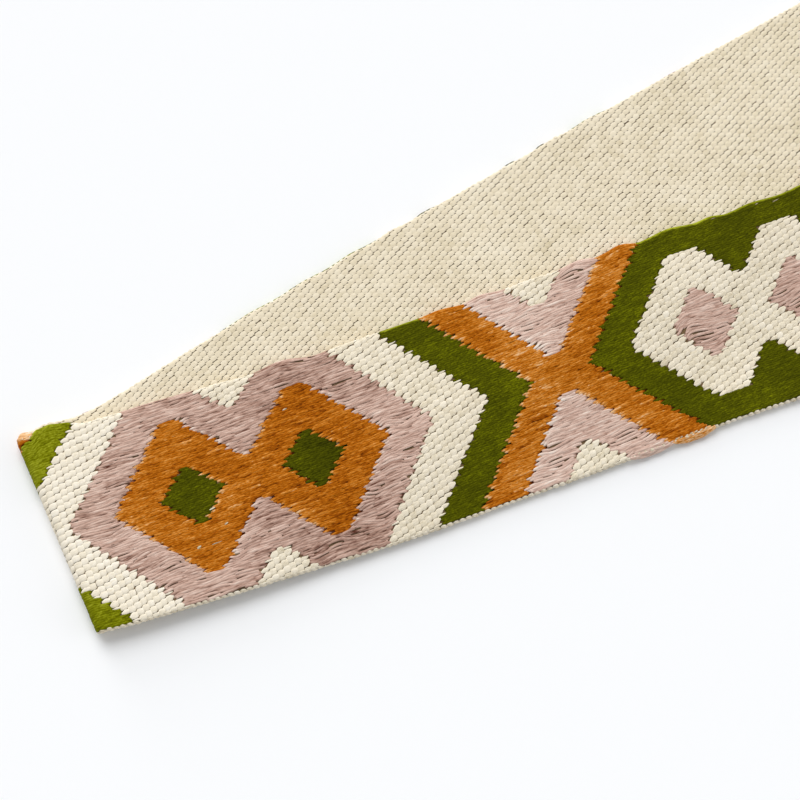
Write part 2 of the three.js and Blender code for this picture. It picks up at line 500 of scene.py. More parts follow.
# Each row is a field of one colour: its corners in mm from the middle of the diamond pair, along and
# then away from the middle line. Later fields lie over earlier ones, and olive is under them all.
FIELDS_MM = [
    (WHITE, ((-60, -1), (57.9, -1), (57.9, 0), (36.5, 25), (35, 27), (-60, 27))),
    (PINK, ((-60, -1), (44.4, -1), (44.4, 0), (24.3, 25), (22.7, 27), (9, 27), (7.5, 25),
            (0.8, 17.9), (-0.8, 17.9), (-60, 17.9))),
    (ORANGE, ((-60, -1), (33.3, -1), (33.3, 0), (17.2, 19.1), (13, 19.1), (0.8, 5.4), (-60, 5.4))),
    (OLIVE, ((7.2, -1), (7.2, 0), (13.9, 7.2), (15.4, 7.2), (22.1, 0), (22.1, -1))),
    (ORANGE, ((69.3, -1), (69.3, 0), (47.5, 25), (45.8, 27), (107.8, 27), (106.1, 25), (84.3, 0),
              (84.3, -1))),
    (PINK, ((58.4, 25), (56.7, 27), (96.9, 27), (95.2, 25), (78.2, 4.8), (75.4, 4.8))),
    (WHITE, ((69.2, 25), (67.4, 27), (86.2, 27), (84.4, 25), (77.7, 17.3), (75.9, 17.3))),
    (WHITE, ((95.2, -1), (95.2, 0), (111.2, 18.4), (118.5, 18.4), (126.5, 9.1), (200, 9.1),
             (200, -1))),
    (PINK, ((106.1, -1), (106.1, 0), (113.7, 8.6), (115.9, 8.6), (123.5, 0), (123.5, -1))),
]
# The columns lean towards the far edge and bow: at places along in mm, in degrees and in mm.
LEAN_DEG = {-60: 0, 0: -1.7, 32: -1.9, 47: -1, 62: 0.5, 85: 1.8, 105: 2.4, 160: 2.3, 235: 2}
BOW_MM = {
    -30: 0, 0: 1.4, 11: 1.3, 21: 0.5, 32: 0, 62: 0.3, 85: 0.5, 105: 1, 124: 1.2, 150: 0.6, 165: 0.2,
    185: 0.4, 197: 1.6, 235: 1.6,
}


def inside(corners, x, y):
    """Which places lie inside a field, by counting the sides crossed."""
    found = np.zeros(np.broadcast(x, y).shape, bool)
    for (x0, y0), (x1, y1) in zip(corners, corners[1:] + corners[:1]):
        crosses = (y0 > y) != (y1 > y)
        reach = x0 + (x1 - x0) * (y - y0) / ((y1 - y0) or 1)
        found ^= crosses & (x < reach)
    return found


def colour_chart(first, last):
    """The colour of the face at each column from first to last, counted from the middle of the pair
    of diamonds, and at each end."""
    columns = np.arange(first, last + 1)
    turned = np.abs(columns) % (2 * HALF_REPEAT)
    turned = np.minimum(turned, 2 * HALF_REPEAT - turned)
    from_pair = (turned * COLUMN / MM)[:, None]
    across = -WIDTH / 2 + (np.arange(ENDS) + 0.5) * END
    from_middle = (np.abs(across - FIGURE_MIDDLE) / MM)[None, :]
    chart = np.full((len(columns), ENDS), OLIVE)
    for colour, corners in FIELDS_MM:
        chart[inside(corners, from_pair, from_middle)] = colour
    return chart


def leaned(along, across):
    """A place in the figure as it lies along the webbing, with the lean and bow of its columns."""
    lean = np.tan(np.radians(between(LEAN_DEG, along)))
    moved = along + lean * across + between(BOW_MM, along) * MM * (across / (WIDTH / 2)) ** 2
    return np.clip(moved, -LOWER_LENGTH, UPPER_LENGTH)


FIRST_COLUMN = math.ceil((-LOWER_LENGTH - PAIR_PLACE) / COLUMN)
LAST_COLUMN = math.floor((UPPER_LENGTH - PAIR_PLACE) / COLUMN)
chart = colour_chart(FIRST_COLUMN, LAST_COLUMN)


def column_place(column):
    """The middle of a column of the chart, along the webbing."""
    return PAIR_PLACE + (column + FIRST_COLUMN) * COLUMN


# THE WHITE GROUND OF THE FACE
# Where no coloured end floats, the undyed cotton binds over three ends at a time, in small slanting
# pillows set one end higher in each column. A dark hole shows at the step from each to the next.
PILLOW_ENDS = 3
PILLOW_HALF_LONG = 0.57 * COLUMN
PILLOW_SLOPE = 0.12 * END / COLUMN
PILLOW_NEAR_EDGE = -WIDTH / 2 + 0.2 * MM
PILLOW_FAR_EDGE = WIDTH / 2 - 0.1 * MM
# How much further a pillow reaches where a colour follows or comes before, as a share of a column.
TOOTH_AFTER = 0.09
TOOTH_BEFORE = 0.07
# How much of its width a pillow loses at its blunt corners and where it ends in a tooth, and how far
# the tooth is lifted: the share at the very end, and the power by which it grows towards it.
CORNER_CUT = (0.52, 3.5)
TOOTH_CUT = (1.15, 1.5)
TOOTH_LIFT = (0.3, 4)
# The height along a pillow, and how far it falls towards its sides: in full at its ends, less between.
PILLOW_CROWN = {-1: 0.5, -0.8: 0.74, -0.5: 0.93, 0: 1, 0.5: 1, 0.8: 0.95, 1: 0.82}
PILLOW_SIDE = {0: 0, 0.4: 0.05, 0.85: 0.35, 1: 0.8}
PILLOW_SIDE_MIDDLE = 0.28
PILLOW_SIDE_POWER = 2.5
# How far out a pillow starts, as a share of half the thickness of the cloth, and its usual height.
PILLOW_LOW = 0.6
PILLOW_PLUMP = 0.97
PILLOW_UNEVEN = {"along": 0.07 * MM, "across": 0.05 * MM, "slope": 0.04, "height": 0.05, "tone": 0.6}
PILLOW_TONE = -0.35
# Painted shade: below what height a pillow is painted darker, as shade in the gaps, and how fast.
PILLOW_GAP_SHADE = (0.6, 1.2)
# The white is brighter near the fold, where it faces the light.
FOLD_BRIGHT = 1.9
FOLD_BRIGHT_TO = 14 * MM
FOLD_BRIGHT_ENDS = 50 * MM
# Where the face is split into the pieces of the lower and of the upper layer.
UPPER_STARTS = -5 * MM


def white_places():
    """The place of each pillow, and whether it lies open after it and before it."""
    rows = []
    for column in range(len(chart)):
        white = chart[column] == WHITE
        after = chart[min(column + 1, len(chart) - 1)] == WHITE
        before = chart[max(column - 1, 0)] == WHITE
        for first in range(column % PILLOW_ENDS - PILLOW_ENDS, ENDS, PILLOW_ENDS):
            ends = [e for e in range(max(first, 0), min(first + PILLOW_ENDS, ENDS)) if white[e]]
            if ends:
                open_after = sum(not after[e] for e in ends) * 2 >= len(ends)
                open_before = sum(not before[e] for e in ends) * 2 >= len(ends)
                across = -WIDTH / 2 + (ends[0] + len(ends) / 2) * END
                reach_after = TOOTH_AFTER * open_after * COLUMN
                reach_before = TOOTH_BEFORE * open_before * COLUMN
                half_long = PILLOW_HALF_LONG + reach_after + reach_before
                along = column_place(column) + reach_after - reach_before
                rows.append((along, across, half_long, len(ends) * END / 2, open_after, open_before))
    return np.array(rows, float)


def cut_corner(end, tooth):
    """How much of its width a pillow loses towards an end, there a tooth or not."""
    blunt, sharp = (amount * end**power for amount, power in (CORNER_CUT, TOOTH_CUT))
    return np.where(tooth > 0, sharp, blunt)


def pillow_shape(at, beside, open_after, open_before):
    """How wide a pillow is at a place on it, and how high. Its two blunt corners are rounded off, and
    cut right away where it ends in a tooth, so that the tooth is one of its sharp corners."""
    ahead, behind = np.maximum(at, 0), np.maximum(-at, 0)
    cut = np.where(beside > 0, cut_corner(behind, open_before), cut_corner(ahead, open_after))
    lift, power = TOOTH_LIFT
    height = profile_at(PILLOW_CROWN, at)
    height = height + lift * (open_after * ahead**power + open_before * behind**power)
    side = profile_at(PILLOW_SIDE, np.abs(beside))
    side = side * (PILLOW_SIDE_MIDDLE + (1 - PILLOW_SIDE_MIDDLE) * np.abs(at) ** PILLOW_SIDE_POWER)
    return 1 - cut, height * (1 - side)


def white_piece(name, rows, grid, material, low=PILLOW_LOW, high=1, shade=0):
    """Pillows of the white ground, as one mesh."""
    count = len(rows)
    places = rows[:, :4].copy()
    places[:, 0] += rng.normal(0, PILLOW_UNEVEN["along"], count)
    places[:, 1] += rng.normal(0, PILLOW_UNEVEN["across"], count)
    slope = PILLOW_SLOPE + rng.normal(0, PILLOW_UNEVEN["slope"], count)
    at, beside = np.meshgrid(*grid, indexing="ij")
    points, faces, each = many(places, (at, beside), 0)
    open_after, open_before = rows[:, 4:].T[:, :, None]
    wide, height = pillow_shape(at.ravel()[None], beside.ravel()[None], open_after, open_before)
    rise = np.tile(at.ravel(), count) * np.repeat(places[:, 2] * slope, each)
    middle = np.repeat(places[:, 1], each)
    points[:, 1] = middle + (points[:, 1] - middle) * wide.ravel() + rise
    points[:, 1] = np.clip(points[:, 1], PILLOW_NEAR_EDGE, PILLOW_FAR_EDGE)
    points[:, 0] = leaned(points[:, 0], points[:, 1])
    plump = PILLOW_PLUMP + rng.normal(0, PILLOW_UNEVEN["height"], count)
    height = height.ravel() * np.repeat(plump, each)
    points[:, 2] = half_thickness(points[:, 1]) * np.minimum(low + (high - low) * height, high)
    # Painted light on the pillows: brighter near the fold, where it faces the light, and painted shade
    # low in the gaps.
    bright = FOLD_BRIGHT * (1 - ease(FOLD_BRIGHT_TO, FOLD_BRIGHT_ENDS, points[:, 0]))
    tone = np.repeat(rng.normal(PILLOW_TONE + shade, PILLOW_UNEVEN["tone"], count), each)
    tone += bright - painted_gap_shade(height, *PILLOW_GAP_SHADE)
    yarn_piece(name, points, faces, material, tone)


# The same undyed cotton, drawn tight over three ends: smoother and paler than on the back.
face_cotton = yarn_material(
    "undyed cotton, pillows of the face",
    ("#8a7a5c", "#d6c9ad", "#ede2cb", "#f6eddb", "#fcf6ea"), 18, (0.9, 0.2), (0.75, 0.3, 0.25), 0.09,
)
white_rows = white_places()
on_upper = white_rows[:, 0] > UPPER_STARTS
FINE_GRID = (
    np.array([-1, -0.8, -0.5, 0, 0.5, 0.8, 1]),
    np.array([-1, -0.85, -0.4, 0, 0.4, 0.85, 1]),
)
COARSE_GRID = (np.array([-1, 0, 1]), np.array([-1, 0, 1]))
white_piece("face_pillows_upper", white_rows[on_upper], FINE_GRID, face_cotton)
white_piece("face_pillows_lower", white_rows[~on_upper], COARSE_GRID, face_cotton)

# THE SELVEDGES
# The weft turns back at both edges and binds them in a row of small cream nubs, one to each column.
# The nubs wrap round the edge, and a dark hole shows between each pair and the first ends of the face.
NUB_WIDE = 0.48 * MM
NUB_HIGH = 0.98 * MM
NUB_HALF_LONG = 0.48 * COLUMN
NUB_SLANT = 0.3 * MM
NUB_PLACES = np.array([-1, -0.6, 0, 0.6, 1])
NUB_TURNS = np.radians([-110, -55, 0, 40, 75, 110])
# How much of its width and height a nub loses at both ends, before the root is drawn.
NUB_TAPER = 0.85
NUB_UNEVEN = {"size": 0.1, "tone": 0.8}


def nubs_piece(name, side, proud, material):
    """The nubs of one selvedge, as one mesh. They stand a little proud of the edge. None is made where
    coloured ends lie round the far edge of the upper layer instead."""
    at, turn = np.meshgrid(NUB_PLACES, NUB_TURNS, indexing="ij")
    at, turn = at.ravel()[None, :], turn.ravel()[None, :]
    columns = np.arange(len(chart))
    covered = (column_place(columns) > 0) & (chart[columns, -1] != WHITE) & (side > 0)
    columns = columns[~covered]
    uneven = 1 + rng.normal(0, NUB_UNEVEN["size"], (len(columns), 1))
    swell = np.sqrt(1 - NUB_TAPER * at**2) * uneven
    across = side * (WIDTH / 2 + proud - NUB_WIDE + NUB_WIDE * swell * np.cos(turn))
    along = column_place(columns)[:, None] + at * NUB_HALF_LONG - NUB_SLANT * np.sin(turn)
    out = np.clip(NUB_HIGH * swell * np.sin(turn), -NUB_HIGH, NUB_HIGH)
    points = stacked(leaned(along, across), across, out)
    faces = grid_faces(len(NUB_PLACES), len(NUB_TURNS))[:, ::int(side)]
    faces = repeated(faces, len(columns), at.shape[1])
    tone = np.repeat(rng.normal(0, NUB_UNEVEN["tone"], len(columns)), at.shape[1])
    yarn_piece(name, points, faces, material, tone)


nubs_piece("selvedge_near", -1, 0.12 * MM, face_cotton)
nubs_piece("selvedge_far", 1, 0.1 * MM, face_cotton)

# THE COLOURED FLOATS
# Rayon and soft cotton warp ends of three colours run along the webbing under the ground and come up
# over it where the chart has their colour. Each end is two plies twisted together, and dives into the
# weave at both ends of a float. At the far selvedge they roll down round the edge, with two ends more.
RIM_ENDS = 2
ROLL_FROM = 24.4 * MM
ROLL_RADIUS = 0.75 * MM
# The section of a strand, across it and out of it. The hidden lower layer takes the plainer one.
STRAND_PROFILE = np.array([(-1, 0), (-0.45, 0.85), (0.45, 0.85), (1, 0)])
FLAT_PROFILE = np.array([(-1, 0), (0, 1), (1, 0)])
TURN_COLUMN = round((UPPER_STARTS - PAIR_PLACE) / COLUMN) - FIRST_COLUMN
NO_COLOUR = -1
wide_chart = np.pad(chart, ((0, 0), (0, RIM_ENDS)), mode="edge")
wide_chart[:, 0] = NO_COLOUR
STRANDS = 2 * wide_chart.shape[1]
# How far the outer two of a tooth's three ends lie before and after its middle one, and how far along
# them that is felt.
TOOTH_SLANT = 0.33 * MM
TOOTH_REACH = 0.8 * MM
# How far from where it starts and stops a float is held in its place, dips and narrows.
TIED_REACH = 1.2 * MM
START_REACH = 0.36 * MM
STOP_REACH = 0.4 * MM
PINCH = 0.3
PINCH_REACH = 0.35 * MM
# How deep a float dives, as a share of its height, and how dark painted shade makes it in the hole it
# dives into; a tied-down strand is given painted shade too. It goes deepest at the step from one tooth to
# the next, where a dark hole shows.
DIVE = {
    "after white": 0.7, "after a float": 0.35, "start at a step": 0.5, "stop": 0.45,
    "stop at a step": 0.5,
}
DIVE_AND_TIE_SHADE = {"after white": 1, "start at a step": 4, "stop": 1.2, "stop at a step": 5, "tie": 1.5}
# How far out the floats start, how high the middle of a ply is, how far the twist lifts it, how high
# its section is crowned, and how far the upper layer's floats stand proud of the ground.
FLOAT_LOW = 0.6
PLY_MIDDLE = 0.42
PLY_LIFT = 0.22
STRAND_CROWN = 0.34
UPPER_PROUD = 0.08
# A ply is left out where it lies under the other one, and is given painted shade as it turns: paler where
# it lies on top, darker as it turns under.
PLY_HIDDEN_BELOW = -0.4
PLY_SHADE = 0.4
# How far the painted highlight at the start of a float reaches: paler where its end rises out of the
# weave to the light, with some of the cream binding that shows there.
START_HIGHLIGHT_REACH = 0.85 * MM
# The olive gets a painted sheen over the fold, most at its far end, and all along the far edge, where its
# yarn turns to the light.
SHEEN_FULL = 6 * MM
SHEEN_ENDS = 15 * MM
SHEEN_NEAR = 0.85
EDGE_SHEEN = 1.2
# The floats stand out from the ground from here on, past the fold line.
PROUD_FROM = -2 * MM
PROUD_FULL = 1.5 * MM
# Places where the loose pink floats are pulled aside and part: along and across, how far the pull
# reaches along and across, and how far it moves the strands to the far side, in mm.
PULLS_MM = [
    (158, -0.4, 3.6, 2.8, 1.4), (162, -5, 3, 1.8, -0.5), (187, -0.5, 3.4, 2.8, 1.1),
    (24, -10, 6, 6, 1.2), (48, -13, 5, 2, 0.4), (136, -17.5, 4, 2, 0.4), (22, 15, 4, 2, 0.4),
]
# The shade varies slowly along the webbing: paler and darker stretches, at places along in mm.
SHADES = {
    -60: 0, 0: 0, 10: -0.4, 30: -0.4, 50: -1, 64: -1.4, 88: -0.3, 100: 0, 118: 0.8, 136: 0,
    185: -0.4, 235: -0.4,
}
# Each way in which the strands wander: its seed, and how long its bends are, in columns. Eight strands
# drift together.
WANDERS = {"sway": (7, 2.2), "drift": (8, 4), "uneven": (9, 1.7), "vary": (11, 4), "untwist": (12, 9)}
DRIFT_TOGETHER = 8
TWIST_SEED = 6


def near(distance, reach):
    """1 at a place, falling to 0 well past a reach from it."""
    return np.exp(-((distance / reach) ** 2))


def runs(steps):
    """At each step along each end: how far it is to where its colour last changed and next changes,
    the place of the end among the three of a tooth there, and whether a float came before."""
    count = len(chart) * steps + 1
    changes = np.zeros((count, wide_chart.shape[1]), bool)
    changes[[0, -1]] = True
    changes[steps:-1:steps] |= wide_chart[1:] != wide_chart[:-1]
    at = np.arange(count)[:, None]
    last = np.maximum.accumulate(np.where(changes, at, -1), axis=0)
    following = np.minimum.accumulate(np.where(changes, at, count)[::-1], axis=0)[::-1]
    before = np.take_along_axis(wide_chart, np.maximum(last // steps - 1, 0), axis=0)
    end = np.arange(wide_chart.shape[1])
    tooth, next_tooth = (
        (end - change // steps + 1) % PILLOW_ENDS - 1 for change in (last, following)
    )
    since, until = (at - last) * COLUMN / steps, (following - at) * COLUMN / steps
    return since, until, tooth, next_tooth, before > WHITE


def smoothed(drawn, count, reach):
    """Numbers eased from one row of drawn ones to the next, reach steps apart."""
    place = np.arange(count) / reach
    row = place.astype(int)
    share = ease(0, 1, place - row)[:, None]
    return drawn[row] * (1 - share) + drawn[row + 1] * share


def wander(kind, look, count, width, steps, together=1):
    """Smooth random numbers along each strand, as strong as its look says. Strands fewer apart than
    together wander alike."""
    seed, columns = WANDERS[kind]
    reach = columns * steps
    size = (math.ceil(count / reach) + 3, math.ceil(width / together) + 2)
    drawn = np.random.default_rng(seed).normal(0, 1, size)
    return smoothed(smoothed(drawn, count, reach).T, width, together).T * look[kind]


def twist(along, look, steps):
    """How far the plies are turned about their end at each place. The two of an end lie opposite."""
    start = np.random.default_rng(TWIST_SEED).uniform(0, 2 * math.pi, STRANDS // 2)
    turn = along / look["twist"] * 2 * math.pi + np.repeat(start, 2) + math.pi * (np.arange(STRANDS) % 2)
    return turn + np.repeat(wander("untwist", look, len(along), STRANDS // 2, steps), 2, axis=1)


def pulled(along, across):
    """How far the strands are pulled to the far side at each place."""
    moved = np.zeros(np.broadcast(along, across).shape)
    for place, line, reach, wide, shift in np.array(PULLS_MM) * MM:
        moved += shift * np.exp(-(((along - place) / reach) ** 2) - ((across - line) / wide) ** 2)
    return moved


def over_edge(across, height):
    """Carries what lies past the far selvedge down round it."""
    turn = np.maximum(across - ROLL_FROM, 0) / ROLL_RADIUS
    rolled = np.minimum(across, ROLL_FROM) + ROLL_RADIUS * np.sin(turn)
    return rolled, height * half_thickness(np.minimum(across, ROLL_FROM)) * np.cos(turn)


def strand_faces(colour, first, last, steps, sides, turn):
    """The quads of the strands of one colour between two columns, in strips along their sections."""
    row = np.arange(len(turn) - 1)[:, None, None]
    strand = np.arange(STRANDS)[None, :, None]
    side = np.arange(sides)[None, None, :]
    start = (row * STRANDS + strand) * (sides + 1) + side
    step = STRANDS * (sides + 1)
    own = np.repeat(np.repeat(wide_chart == colour, 2, axis=1), steps, axis=0)
    own[:first * steps] = False
    own[last * steps:] = False
    if colour != OLIVE:
        own[:TURN_COLUMN * steps, -2 * RIM_ENDS:] = False
    on_top = np.cos(turn) > PLY_HIDDEN_BELOW
    faces = np.stack([start, start + step, start + step + 1, start + 1], axis=-1)
    return faces[own & on_top[1:] & on_top[:-1]].reshape(-1, 4)


def floats_piece(name, colour, first, last, steps, profile, look, material, slot):
    """The floats of one colour between two columns of the chart, as one mesh."""
    since, until, tooth, next_tooth, follows = (np.repeat(part, 2, axis=1) for part in runs(steps))
    count = len(since)
    nearest = np.minimum(since, until)
    start_dip, stop_dip = near(since, START_REACH), near(until, STOP_REACH)
    starts_low, stops_low = tooth < 0, next_tooth < 0

    along = PAIR_PLACE + (FIRST_COLUMN - 0.5 + np.arange(count)[:, None] / steps) * COLUMN
    along = along - TOOTH_SLANT * tooth * near(since, TOOTH_REACH)
    along = along - TOOTH_SLANT * next_tooth * near(until, TOOTH_REACH)
    turn = twist(along, look, steps)
    end = np.arange(STRANDS)[None, :] // 2
    swayed = wander("sway", look, count, STRANDS, steps)
    swayed = swayed + wander("drift", look, count, STRANDS, steps, DRIFT_TOGETHER)
    across = -WIDTH / 2 + (end + 0.5) * END + np.sin(turn) * look["ply"]
    free = 1 - near(nearest, TIED_REACH)
    across = across + (swayed + pulled(along, across) * (colour == PINK)) * free

    dive = np.where(follows, DIVE["after a float"], DIVE["after white"])
    dive = (dive + DIVE["start at a step"] * starts_low) * start_dip
    dive = dive + (DIVE["stop"] + DIVE["stop at a step"] * stops_low) * stop_dip
    tied = np.random.default_rng(colour).random((len(chart), STRANDS)) < look["ties"]
    tie = np.zeros((count, STRANDS))
    tie[steps // 2:-1:steps] = tied
    height = PLY_MIDDLE + PLY_LIFT * np.cos(turn) + wander("uneven", look, count, STRANDS, steps)
    height = height - look["tie_depth"] * tie
    half = look["plump"] * (1 - PINCH * near(nearest, PINCH_REACH))

    # The tone: random variation, painted shade and highlight as the plies turn, painted shade where
    # strands are tied down and where floats dive, a painted highlight at pale starts, and a painted sheen
    # over the fold and along the far edge.
    shade = wander("vary", look, count, STRANDS, steps) + PLY_SHADE * look["relief_shade"] * np.cos(turn)
    shade = shade - DIVE_AND_TIE_SHADE["tie"] * tie + between(SHADES, along) * look["clouded"]
    shade = shade + near(since, START_HIGHLIGHT_REACH) * (follows & ~starts_low) * look["pale"]
    shade = shade - (DIVE_AND_TIE_SHADE["stop"] + DIVE_AND_TIE_SHADE["stop at a step"] * stops_low) * stop_dip
    shade = shade - (DIVE_AND_TIE_SHADE["after white"] * ~follows + DIVE_AND_TIE_SHADE["start at a step"] * starts_low) * start_dip
    sheen = SHEEN_NEAR + (1 - SHEEN_NEAR) * ease(-WIDTH / 2, WIDTH / 2, across)
    sheen = np.maximum((1 - ease(SHEEN_FULL, SHEEN_ENDS, along)) * sheen, EDGE_SHEEN * (end >= ENDS - 1))
    shade = shade + look["fold_sheen"] * sheen

    raised = np.clip(height - dive, 0, 1)[..., None] + STRAND_CROWN * profile[:, 1]
    spread = across[..., None] + half[..., None] * profile[:, 0]
    # Painted shade along the low edges of each strand's section.
    shade = shade[..., None] - look["relief_shade"] * (1 - profile[:, 1])
    run = along[..., None] + 0 * spread
    faces = strand_faces(colour, first, last, steps, len(profile) - 1, turn)
    used, faces = np.unique(faces, return_inverse=True)
    run, spread, raised, shade = (part.reshape(-1)[used] for part in (run, spread, raised, shade))
    run = leaned(run, spread)
    top = 1 + UPPER_PROUD * ease(PROUD_FROM, PROUD_FULL, flat_place(run, spread)[0])
    spread, out = over_edge(spread, np.minimum(FLOAT_LOW + (top - FLOAT_LOW) * raised, top))
    points = np.column_stack([run, spread, out])
    yarn_piece(name, points, faces.reshape(-1, 4), material, shade)


# Rayon, smooth and hardly twisted: the most even of the three, deep olive, and lime where it turns
# to the light.
olive = yarn_material(
    "olive rayon floats",
    ("#191c00", "#363800", "#4f5101", "#797d04", "#a5aa2c"), 6, (0.6, 0.3), (0.6, 0.4, 0.3), 0.05,
)
# Rayon in two loose plies: burnt orange, mottled, with paler fibres on top of it.
orange = yarn_material(
    "burnt orange rayon floats",
    ("#431703", "#914803", "#b8680e", "#d48c3a", "#ecc292"), 3, (0.9, 0.2), (1.1, 0.5, 0.4), 0.08,
)
# Soft cotton, the loosest of the three: dull dusty pink, with dark lines where the strands part: gaps,
# and painted shade along the edges of each strand.
pink = yarn_material(
    "dusty pink cotton floats",
    ("#562c1e", "#ab8878", "#d0b0a0", "#e2c9ba", "#f0e3d6"), 4, (1.6, 0.24), (0.8, 0.5, 0.3), 0.08,
)
# How the olive, the orange and the pink lie, in this order: how far strands sway, groups of them drift
# and plies stand apart, their half width, and the length of a twist.
LIE_MM = {
    "sway": (0.02, 0.03, 0.06), "drift": (0.08, 0.12, 0.36), "ply": (0.08, 0.1, 0.11),
    "plump": (0.36, 0.36, 0.35), "twist": (5, 9, 11),
}
# In the same order: how much the twist and the height vary, how often and how deep strands are tied
# down, and how strong the tone's variation, the painted highlight of the pale starts, the painted sheen
# over the fold, the clouds and the painted shade of the relief are.
LOOKS = {
    "untwist": (0.8, 1.4, 1.6), "uneven": (0.02, 0.06, 0.12), "ties": (0.01, 0.02, 0.01),
    "tie_depth": (0.1, 0.15, 0.2), "vary": (0.3, 1, 1), "pale": (0.6, 4.2, 3.4),
    "fold_sheen": (3.4, 0, 0), "clouded": (1, 0.7, 1.5), "relief_shade": (0.3, 0.9, 1.2),
}
UPPER_STEPS = 4
LOWER_STEPS = 2
for number, (colour, word, material) in enumerate(
    ((OLIVE, "olive", olive), (ORANGE, "orange", orange), (PINK, "pink", pink))
):
    look = {part: values[number] * MM for part, values in LIE_MM.items()}
    look |= {part: values[number] for part, values in LOOKS.items()}
    finish = (look, material, word + "_yarn")
    upper, lower = word + "_floats_upper", word + "_floats_lower"
    floats_piece(upper, colour, TURN_COLUMN, len(chart), UPPER_STEPS, STRAND_PROFILE, *finish)
    floats_piece(lower, colour, 0, TURN_COLUMN, LOWER_STEPS, FLAT_PROFILE, *finish)

# THE CUT ENDS
# The webbing is cut square at both ends, and nothing binds the cut. It shows the ends of the yarns, cut
# flush: four rows of them, one above the other, each standing half a yarn beside the row below.
CUT_ROWS = 4
CUT_ROW_HEIGHT = 0.44 * MM
CUT_YARN_RADIUS = 0.27 * MM
CUT_DOME = 0.3 * MM
CUT_HIGH = 0.97 * MM
# A yarn end: how far out of the cut each of its rings is and how wide, as shares of dome and radius.
CUT_RINGS = {-2: 1, 0.4: 1, 0.85: 0.6, 1: 0}
CUT_SIDES = 6
CUT_TONE = -1
CUT_UNEVEN = {"radius": 0.08, "dome": 0.3, "tone": 1.2}


def cut_piece(name, cut, outward, material):
    """The yarn ends of one cut, as one mesh of small domes."""
    row, end = np.meshgrid(np.arange(CUT_ROWS), np.arange(ENDS), indexing="ij")
    row, end = row.ravel(), end.ravel()
    count = len(row)
    middle = -WIDTH / 2 + (end + 0.25 + 0.5 * (row % 2)) * END
    level = (row - (CUT_ROWS - 1) / 2) * CUT_ROW_HEIGHT * half_thickness(middle) / (THICKNESS / 2)
    radius = CUT_YARN_RADIUS * (1 + rng.normal(0, CUT_UNEVEN["radius"], count))[:, None, None]
    dome = CUT_DOME * (1 + rng.normal(0, CUT_UNEVEN["dome"], count))[:, None, None]
    reach, wide = np.array(list(CUT_RINGS.items())).T[:, :, None]
    turn = outward * np.arange(CUT_SIDES + 1) / CUT_SIDES * 2 * math.pi
    along = cut + outward * reach * dome
    across = middle[:, None, None] + radius * wide * np.cos(turn)
    out = np.clip(level[:, None, None] + radius * wide * np.sin(turn), -CUT_HIGH, CUT_HIGH)
    points = stacked(along, across, out)
    each = len(CUT_RINGS) * (CUT_SIDES + 1)
    faces = repeated(grid_faces(len(CUT_RINGS), CUT_SIDES + 1)[:, ::-1], count, each)
    tone = np.repeat(rng.normal(CUT_TONE, CUT_UNEVEN["tone"], count), each)
    yarn_piece(name, points, faces, material, tone)


cut_piece("cut_end_upper", UPPER_LENGTH, 1, face_cotton)
cut_piece("cut_end_lower", -LOWER_LENGTH, -1, face_cotton)

# LOOSE BUNDLES AT THE EDGES
# Where a coloured band reaches the near edge, its outer ends aren't bound in. They hang past the edge
# in a soft bundle, with a dotted row of stitches inside it. A tuft bulges from the far corner of the
# fold in the same way, and short lengths of olive ends show at the far edge of the lower layer.
BUNDLE_STEPS = 24
STRAND_SIDES = 6
# A bundle leaves the cloth inside its edge. Its strands lie side by side, the outer ones lower.
BUNDLE_ROOT = WIDTH / 2 - 0.75 * MM
BUNDLE_WIDE = 0.6 * MM
BUNDLE_HEIGHT = 0.72 * MM
BUNDLE_SAG = 0.75 * MM
BUNDLE_TOP = THICKNESS / 2 - 0.1 * MM
# The power that squares the arch of the strands, and their ripple: its height, and its turn in radians
# over the length of a bundle and over its width.
ARCH_POWER = 0.7
RIPPLE = 0.06 * MM
RIPPLE_ALONG = 17
RIPPLE_ACROSS = 9
# How far the strands are shifted along and their tones differ, each with its turn over the width.
STRAND_SHIFT = (0.02, 7)
STRAND_TONE = (0.4, 40)
# Each bundle: its name, its side, where it leaves the edge and comes back and how far it swells past it,
# in mm, how many strands it has, their radius in mm and their tone, and the yarn and its slot.
BUNDLES_MM = [
    ("orange_bundle_near", -1, 142.8, 153.6, 0.9, 6, 0.3, 4.2, orange, "orange_yarn"),
    ("pink_bundle_near", -1, 132, 142.8, 0.6, 4, 0.34, 0.8, pink, "pink_yarn"),
    ("orange_tuft_far", 1, -7, 0.6, 0.9, 5, 0.32, 5.2, orange, "orange_yarn"),
    ("olive_ends_113", 1, -121, -113, 0.4, 3, 0.13, 0, olive, "olive_yarn"),
    ("olive_ends_139", 1, -144.5, -139, 0.4, 3, 0.13, 0, olive, "olive_yarn"),
    ("olive_ends_149", 1, -153, -149, 0.4, 3, 0.13, 0, olive, "olive_yarn"),
]


